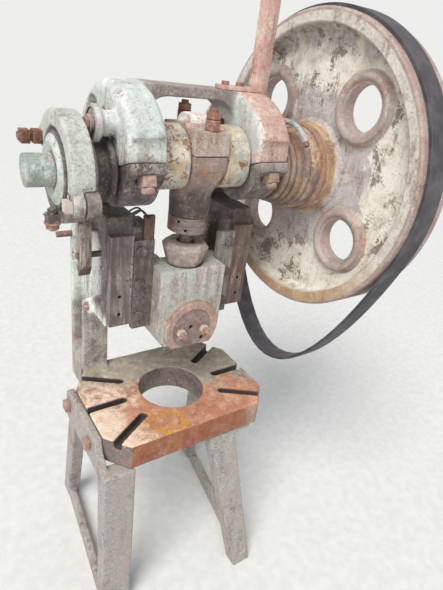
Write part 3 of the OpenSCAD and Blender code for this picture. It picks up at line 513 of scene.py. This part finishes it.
PAINTS = {
    "strap": strap_paint(), "ram": ram_paint(), "lever": lever_paint(), "cap": cap_paint(),
    "pitman": pitman_paint(), "pitman_cap": pitman_cap_paint(),
    "stand": simple_paint(
        "stand_paint", "aba097", "9f9d9a", "8c7d72", "7f746c", "86695a",
        cover=0.85, staining=0.48, grime=0.22, fleck=20.0),
    "link": simple_paint(
        "link_paint", "c6bab7", "e0dbd6", "9d8982", "827671", "8a6a5c",
        cover=0.82, staining=0.5, grime=0.25, fleck=50.0),
    "ball_nut": simple_paint(
        "ball_nut_paint", "a99489", "bfaea0", "8f7667", "84756c", "967060",
        cover=0.75, staining=0.4, grime=0.26, fleck=50.0),
    "bracket": simple_paint(
        "bracket_paint", "cda293", "e2c6b9", "9c6a57", "8d6b5e", "9c6149",
        cover=0.85, staining=0.4, grime=0.14, fleck=50.0),
    "pipe": simple_paint(
        "pipe_paint", "b9bcbc", "9da2a3", "8d8885", "6f6b68", "8a6a5c",
        cover=0.9, staining=0.3, grime=0.2, fleck=70.0),
}
# The stretch of scratches that run up and down, as on the ram's guides
SLIDING = (80, 80, 9)
STEELS = {
    "gib": greasy_steel(
        "gib_steel", "958a85", "655a56", "705a50", rusting=0.25, shine=0.15, lie=SLIDING, grease=0.38),
    "strap_lower": greasy_steel(
        "strap_lower_steel", "968a85", "5f5654", "6e5a50", rusting=0.25, shine=0.15, grease=0.38),
    "right_gib": greasy_steel(
        "right_gib_steel", "7f6b61", "58483f", "6d5248", rusting=0.30, shine=0.15, lie=SLIDING, grease=0.35),
    "right_inner_gib": greasy_steel(
        "right_inner_gib_steel", "96948a", "6a6562", "7d6558", rusting=0.22, shine=0.15, lie=SLIDING,
        grease=0.38),
    "inner_gib": greasy_steel(
        "inner_gib_steel", "7e7573", "554c4b", "68544b", rusting=0.22, shine=0.15, lie=SLIDING, grease=0.45),
    "nut": greasy_steel("nut_steel", "b7998b", "947769", "9f6f58", rusting=0.50, shine=0.15),
    "pink_nut": greasy_steel(
        "pink_nut_steel", "bfa398", "9c8074", "a57560", rusting=0.40, shine=0.15, grease=0.2,
        right=("a8937c", "836d59", "8f7355")),
    "pale_nut": greasy_steel(
        "pale_nut_steel", "cdbfb3", "b09a8c", "ab7f68", rusting=0.35, shine=0.10, grease=0.12),
    "rust_nut": greasy_steel(
        "rust_nut_steel", "ab8271", "7f5b4d", "94604a", rusting=0.50, shine=0.10, grease=0.26),
    "stud": greasy_steel("stud_steel", "9c8578", "75625a", "8d6350", rusting=0.45, shine=0.2),
    "clamp": greasy_steel("clamp_steel", "a0897f", "80706a", "8a6656", rusting=0.35, shine=0.15),
    "dark": greasy_steel("dark_steel", "625b5a", "3a3536", "5e4c42", rusting=0.20, shine=0.3, grease=0.5),
    "ring": greasy_steel(
        "ring_steel", "95857c", "665954", "7a6054", rusting=0.35, shine=0.2, lie=(20, 20, 120)),
    "bush": greasy_steel("bush_bronze", "a08545", "6a5432", "5a4a38", rusting=0.20, shine=0.6),
    "screw": greasy_steel(
        "screw_steel", "857a74", "4a423e", "6d5448", rusting=0.30, shine=0.4, lie=(60, 60, 300)),
    "lining": greasy_steel("lining_fibre", "6a5f58", "433b37", "54443a", rusting=0.10, shine=0.0),
    "post": greasy_steel(
        "post_rust", "7d6157", "594540", "74503f", rusting=0.4, shine=0.1, lie=(90, 90, 14), grease=0.45),
    "anchor_nut": greasy_steel(
        "anchor_nut_steel", "96705a", "5f4636", "7c5036", rusting=0.55, shine=0.1, grease=0.38),
    "pin": greasy_steel("pin_steel", "9a8474", "6f5d52", "80624f", rusting=0.4, shine=0.1, grease=0.35),
}
HUB = hub_finish()
DRESS = {
    "frame": frame_paint(), "bearing_cap_left": PAINTS["cap"], "bearing_cap_right": PAINTS["cap"],
    "bearing_cap_studs": STEELS["stud"], "bearing_cap_nuts": STEELS["pink_nut"],
    "main_bush_left": STEELS["dark"], "main_bush_right": STEELS["dark"],
    "leg_left": PAINTS["stand"], "leg_right": PAINTS["stand"], "leg_bolts": STEELS["nut"],
    "gib_outer_left": STEELS["gib"], "gib_outer_right": STEELS["right_gib"],
    "gib_inner_left": STEELS["inner_gib"], "gib_inner_right": STEELS["right_inner_gib"],
    "gib_screws": STEELS["inner_gib"], "gib_post": STEELS["post"],
    "oil_pipe": PAINTS["pipe"], "guard_bracket": PAINTS["bracket"], "guard_bracket_bolts": STEELS["rust_nut"],
    "rear_pin": STEELS["pin"], "link_disc": PAINTS["link"], "link_disc_bolt": STEELS["pink_nut"],
    "trip_lever_pin": STEELS["stud"], "trip_lever": PAINTS["lever"],
    "brake_strap": PAINTS["strap"], "brake_strap_lower": STEELS["strap_lower"],
    "brake_linings": STEELS["lining"], "brake_hinge_pin": STEELS["pale_nut"],
    "brake_anchor_stud": STEELS["anchor_nut"], "brake_anchor_nuts": STEELS["anchor_nut"],
    "brake_adjusting_stud": STEELS["nut"], "brake_drum": drum_finish(),
    "crankshaft": shaft_finish(), "shaft_keys": STEELS["screw"],
    "clutch_collar": HUB, "shaft_end_collar": HUB,
    "pitman": PAINTS["pitman"], "pitman_cap": PAINTS["pitman_cap"], "pitman_studs": STEELS["rust_nut"],
    "pitman_nuts": STEELS["rust_nut"], "big_end_bush": STEELS["bush"], "adjusting_screw": STEELS["screw"],
    "lock_rings": STEELS["ring"], "ball_nut": PAINTS["ball_nut"], "ball_cup": STEELS["bush"],
    "ram": PAINTS["ram"], "shank_clamp": STEELS["clamp"], "shank_clamp_studs": STEELS["nut"],
    "shank_clamp_nuts": STEELS["pale_nut"], "flywheel": wheel_paint(), "flywheel_bush": STEELS["bush"],
    "clutch_ring": HUB, "clutch_ring_bolts": STEELS["nut"], "drive_belt": belt_rubber(),
}


def dress(piece, material):
    piece.data.materials.clear()
    piece.data.materials.append(material)


for node_name, node_piece in NODES.items():
    dress(node_piece, DRESS[node_name])


# Castings and worn pieces, made from their nodes

def only(piece):
    """Selects the piece and nothing else."""
    bpy.ops.object.select_all(action="DESELECT")
    piece.select_set(True)
    bpy.context.view_layer.objects.active = piece


def apply_modifier(piece, kind, **settings):
    only(piece)
    modifier = piece.modifiers.new(kind.lower(), kind)
    for key, value in settings.items():
        setattr(modifier, key, value)
    bpy.ops.object.modifier_apply(modifier=modifier.name)


def copy_of(node, name):
    """A copy of a node with its loose triangles joined."""
    piece = bpy.data.objects.new(name, NODES[node].data.copy())
    bpy.context.scene.collection.objects.link(piece)
    only(piece)
    bpy.ops.object.mode_set(mode="EDIT")
    bpy.ops.mesh.select_all(action="SELECT")
    bpy.ops.mesh.remove_doubles(threshold=0.00002)
    bpy.ops.mesh.dissolve_limited(angle_limit=math.radians(1.0))
    bpy.ops.object.mode_set(mode="OBJECT")
    return piece


def settle(piece, node):
    """The piece takes the node's finish, its body and its place."""
    dress(piece, DRESS[node])
    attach(piece, BODY_OF[node])
    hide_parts(node)


def cast_skin(piece, voxel, rounds, lumps, lump_size):
    """Soft edges, and a lumpy skin that only goes inwards."""
    apply_modifier(piece, "REMESH", mode="VOXEL", voxel_size=voxel)
    apply_modifier(piece, "SMOOTH", factor=0.5, iterations=rounds)
    skin = bpy.data.textures.new(piece.name + "_skin", "CLOUDS")
    skin.noise_scale = lump_size
    skin.noise_depth = 3
    apply_modifier(piece, "DISPLACE", texture=skin, strength=-lumps, mid_level=0.0, texture_coords="LOCAL")
    bpy.ops.object.shade_smooth()


def rough_casting(node, voxel, rounds, lumps=0.0008, lump_size=0.02):
    """The node's shape with soft edges and the uneven skin of a sand casting."""
    piece = copy_of(node, node + "_cast")
    cast_skin(piece, voxel, rounds, lumps, lump_size)
    settle(piece, node)
    return piece


def bevel_edges(piece, width, smooth_below, **limits):
    apply_modifier(piece, "BEVEL", width=width, segments=2, limit_method="ANGLE", **limits)
    bpy.ops.object.shade_smooth_by_angle(angle=math.radians(smooth_below))


def worn_edges(node, width):
    """The node's shape with its edges worn round."""
    piece = copy_of(node, node + "_worn")
    bevel_edges(piece, width, 35, angle_limit=math.radians(30), use_clamp_overlap=True)
    settle(piece, node)


def thin_out(piece, most):
    """Fewer triangles, where a casting's skin has more than most."""
    count = sum(len(p.vertices) - 2 for p in piece.data.polygons)
    if count > most:
        apply_modifier(piece, "DECIMATE", ratio=most / count)
        bpy.ops.object.shade_smooth()


for node, voxel, rounds in (
        ("bearing_cap_left", 0.0025, 6), ("bearing_cap_right", 0.0025, 6),
        ("leg_left", 0.004, 5), ("leg_right", 0.004, 5), ("brake_strap", 0.0025, 5),
        ("ram", 0.003, 3), ("pitman", 0.002, 14), ("pitman_cap", 0.002, 10)):
    rough_casting(node, voxel, rounds)
thin_out(rough_casting("frame", 0.0036, 4, 0.0012, 0.03), 190000)
thin_out(rough_casting("crankshaft", 0.0026, 6, 0.0006), 120000)
for node, width in (
        ("bearing_cap_nuts", 0.002), ("pitman_nuts", 0.002), ("brake_anchor_nuts", 0.0025),
        ("shank_clamp_nuts", 0.0015), ("guard_bracket", 0.0012), ("gib_post", 0.001),
        ("trip_lever", 0.003), ("leg_bolts", 0.0015), ("gib_screws", 0.002)):
    worn_edges(node, width)


# Scraps of black tie wire, left on the brake's stud, on its hinge and on the left guide way

def wire(name, points, thickness, body, material):
    """A bent length of thin tie wire along five or more points."""
    bpy.ops.curve.primitive_nurbs_path_add(radius=1, location=(0, 0, 0))
    piece = bpy.context.object
    piece.name = name
    spline = piece.data.splines[0]
    spline.points.add(len(points) - len(spline.points))
    for place, point in zip(points, spline.points):
        point.co = (*place, 1)
    spline.order_u = 4
    spline.use_endpoint_u = True
    spline.resolution_u = 6
    piece.data.dimensions = "3D"
    piece.data.bevel_depth = thickness / 2
    piece.data.bevel_resolution = 2
    piece.data.use_fill_caps = True
    bpy.ops.object.convert(target="MESH")
    bpy.ops.object.shade_smooth()
    dress(piece, material)
    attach(piece, body)


def coil(middle, radius, turns, rise):
    """Points of a loose winding round an upright line."""
    steps = 10
    found = []
    for i in range(turns * steps + 1):
        angle = i / steps * 2 * math.pi
        loose = radius * (1 + 0.12 * math.sin(angle * 2.3))
        found.append((
            middle[0] + loose * math.cos(angle), middle[1] + loose * math.sin(angle),
            middle[2] + rise * i / steps))
    return found


BLACK_WIRE = greasy_steel("black_wire", "3f3d42", "222024", "4a3c36", rusting=0.1, shine=0.4)
wire("stud_tie_wire", coil((-0.344, 0.0, 0.586), 0.0095, 4, 0.0016) + [
    (-0.352, -0.018, 0.590), (-0.366, -0.030, 0.586), (-0.372, -0.034, 0.594)],
    0.0022, "press_frame", BLACK_WIRE)
wire("stud_tie_wire_end", [
    (-0.338, -0.009, 0.585), (-0.344, -0.020, 0.596), (-0.334, -0.040, 0.604), (-0.326, -0.070, 0.610),
    (-0.330, -0.088, 0.606)], 0.0022, "press_frame", BLACK_WIRE)
wire("hinge_tie_wire", [
    (-0.341, -0.112, 0.646), (-0.344, -0.120, 0.654), (-0.342, -0.128, 0.648), (-0.344, -0.118, 0.660),
    (-0.350, -0.126, 0.668)], 0.002, "press_frame", BLACK_WIRE)
for i, (sway, lift) in enumerate(((0.0, 0.0), (0.010, 0.004), (-0.008, 0.007), (0.014, 0.002))):
    wire("guide_tie_wire_%d" % (i + 1), [
        (-0.186 + sway, -0.030, 0.573), (-0.172 + sway, -0.038, 0.584 + lift),
        (-0.154, -0.032 - sway, 0.590 + lift), (-0.140 - lift, -0.026 + sway, 0.583),
        (-0.129, -0.022 + sway / 2, 0.571), (-0.120, -0.021, 0.560)],
        0.0042, "press_frame", BLACK_WIRE)


# The ball nut, the oil pipe's mouth and the column's bolt

def apply_place(piece):
    only(piece)
    bpy.ops.object.transform_apply(location=True, rotation=True, scale=True)


def pick_faces(piece, way):
    """Opens the piece in edit mode with only its faces that look along way selected."""
    bpy.ops.object.mode_set(mode="EDIT")
    mesh = bmesh.from_edit_mesh(piece.data)
    for face in mesh.faces:
        face.select = face.normal.dot(Vector(way)) > 0.9
    bmesh.update_edit_mesh(piece.data)


def cut_away(piece, cutter):
    apply_place(cutter)
    apply_modifier(piece, "BOOLEAN", object=cutter, operation="DIFFERENCE", solver="EXACT")
    bpy.data.objects.remove(cutter)


def ball_nut():
    """Eight rough flats that widen upwards, over the ball of the adjusting screw."""
    flats = 0.050
    ball_r, ball_z = 0.0302, 0.458
    bpy.ops.mesh.primitive_cone_add(
        vertices=8, radius1=0.0495, radius2=0.0645, depth=flats, location=(0, 0, BALL_NUT_Z + flats / 2),
        rotation=(0, 0, math.radians(9)))
    piece = bpy.context.object
    piece.name = "ball_nut_cast"
    apply_place(piece)
    pick_faces(piece, (0, 0, 1))
    bpy.ops.mesh.extrude_region_move(TRANSFORM_OT_translate={"value": (0, 0, BALL_NUT_HEIGHT - flats)})
    bpy.ops.transform.resize(
        value=(0.84, 0.84, 1), center_override=(0, 0, BALL_NUT_Z + BALL_NUT_HEIGHT))
    bpy.ops.object.mode_set(mode="OBJECT")
    # Room for the screw's neck, its ball and the ball cup
    for radius, low, high in ((0.0235, 0.440, 0.500), (ball_r, 0.434, ball_z), (0.0341, 0.420, 0.445)):
        bpy.ops.mesh.primitive_cylinder_add(
            vertices=48, radius=radius, depth=high - low, location=(0, 0, (low + high) / 2))
        cut_away(piece, bpy.context.object)
    bpy.ops.mesh.primitive_uv_sphere_add(
        segments=40, ring_count=20, radius=ball_r, location=(0, 0, ball_z))
    cut_away(piece, bpy.context.object)
    cast_skin(piece, 0.0018, 3, 0.0012, 0.012)
    settle(piece, "ball_nut")


def pipe_mouth():
    """The open end of the oil pipe."""
    bend, bend_r = math.radians(52), 0.096
    end = Vector((0.25, -0.040 - bend_r * math.sin(bend), 0.706 + bend_r * math.cos(bend)))
    along = Vector((0, -math.cos(bend), -math.sin(bend)))
    bpy.ops.mesh.primitive_cylinder_add(vertices=24, radius=0.0078, depth=0.012, location=(0, 0, 0))
    piece = bpy.context.object
    piece.name = "oil_pipe_mouth"
    pick_faces(piece, (0, 0, 1))
    bpy.ops.mesh.inset(thickness=0.0028)
    bpy.ops.mesh.extrude_region_move(TRANSFORM_OT_translate={"value": (0, 0, -0.010)})
    bpy.ops.object.mode_set(mode="OBJECT")
    piece.rotation_euler = along.to_track_quat("Z", "Y").to_euler()
    piece.location = end + along * 0.004
    apply_place(piece)
    bevel_edges(piece, 0.0006, 40)
    dress(piece, STEELS["stud"])
    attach(piece, "press_frame")


def column_bolt():
    """The end of a bolt, with its nut, on the left column."""
    bpy.ops.mesh.primitive_cylinder_add(
        vertices=6, radius=0.0125, depth=0.009, location=(-0.2265, 0.119, 0.265),
        rotation=(0, math.radians(-90), 0))
    piece = bpy.context.object
    piece.name = "column_bolt"
    apply_place(piece)
    pick_faces(piece, (-1, 0, 0))
    bpy.ops.mesh.inset(thickness=0.0055)
    bpy.ops.mesh.extrude_region_move(TRANSFORM_OT_translate={"value": (-0.008, 0, 0)})
    bpy.ops.object.mode_set(mode="OBJECT")
    bevel_edges(piece, 0.0012, 35)
    dress(piece, STEELS["nut"])
    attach(piece, "press_frame")


ball_nut()
pipe_mouth()
column_bolt()


# Camera, floor and light

def add_camera():
    yaw, pitch, roll = 0.6492, 0.4702, -0.1442
    place = (-0.6162, -1.0026, 0.9337)
    focal_pixels, picture_pixels, sensor = 468.97, 590, 36
    ahead = Vector((math.sin(yaw) * math.cos(pitch), math.cos(yaw) * math.cos(pitch), -math.sin(pitch)))
    level = Vector((math.cos(yaw), -math.sin(yaw), 0))
    under = ahead.cross(level)
    right = math.cos(roll) * level + math.sin(roll) * under
    down = -math.sin(roll) * level + math.cos(roll) * under
    turn = Matrix((right, -down, -ahead)).transposed().to_4x4()
    data = bpy.data.cameras.new("photo_camera")
    data.lens = focal_pixels / picture_pixels * sensor
    data.sensor_width = sensor
    camera = bpy.data.objects.new("photo_camera", data)
    camera.matrix_world = Matrix.Translation(place) @ turn
    bpy.context.scene.collection.objects.link(camera)
    bpy.context.scene.camera = camera


def add_lamp(name, kind, energy, place, size, colour):
    data = bpy.data.lights.new(name, kind)
    data.energy = energy
    data.color = colour
    if kind == "SUN":
        data.angle = size
    else:
        data.size = size
    lamp = bpy.data.objects.new(name, data)
    lamp.location = place
    lamp.rotation_euler = (Vector((0, 0, 0.2)) - Vector(place)).to_track_quat("-Z", "Y").to_euler()
    bpy.context.scene.collection.objects.link(lamp)


def add_floor():
    bpy.ops.mesh.primitive_plane_add(size=60, location=(0, 0, FLOOR_Z))
    floor = bpy.context.object
    floor.name = "floor"
    apply_place(floor)
    f = Finish("pale_floor")
    speck = f.noise(30.0, 5, 0.6)
    f.surface(f.mix(speck.above(-0.2, 0.2), "cfcecb", "d8d7d4"), 0.9, speck, 0.0005, 0.001)
    dress(floor, f.material)


def add_sky():
    """A pale blue sky that lights the press, and that shows as near white to the camera and in metal."""
    world = bpy.data.worlds.new("plain_sky")
    world.use_nodes = True
    bpy.context.scene.world = world
    tree = world.node_tree
    sky = tree.nodes["Background"]
    sky.inputs["Color"].default_value = (0.86, 0.91, 0.96, 1)
    sky.inputs["Strength"].default_value = 0.60
    white = tree.nodes.new("ShaderNodeBackground")
    white.inputs["Color"].default_value = (0.852, 0.856, 0.840, 1)
    ray = tree.nodes.new("ShaderNodeLightPath")
    pick = tree.nodes.new("ShaderNodeMixShader")
    seen = ray.outputs["Is Camera Ray"]
    for kind in ("Is Glossy Ray", "Is Transmission Ray"):
        either = tree.nodes.new("ShaderNodeMath")
        either.operation = "MAXIMUM"
        tree.links.new(seen, either.inputs[0])
        tree.links.new(ray.outputs[kind], either.inputs[1])
        seen = either.outputs[0]
    for source, socket in ((seen, 0), (sky.outputs[0], 1), (white.outputs[0], 2)):
        tree.links.new(source, pick.inputs[socket])
    tree.links.new(pick.outputs[0], tree.nodes["World Output"].inputs[0])


add_camera()
add_floor()
add_sky()
add_lamp("key_sun", "SUN", 3.0, (-2.6, -1.7, 4.3), 0.5, (1.0, 0.985, 0.965))
add_lamp("fill_area", "AREA", 28, (-3.0, -2.2, 1.4), 2.5, (0.93, 0.97, 1.0))

bpy.context.scene.view_settings.view_transform = "Standard"

bpy.context.view_layer.update()
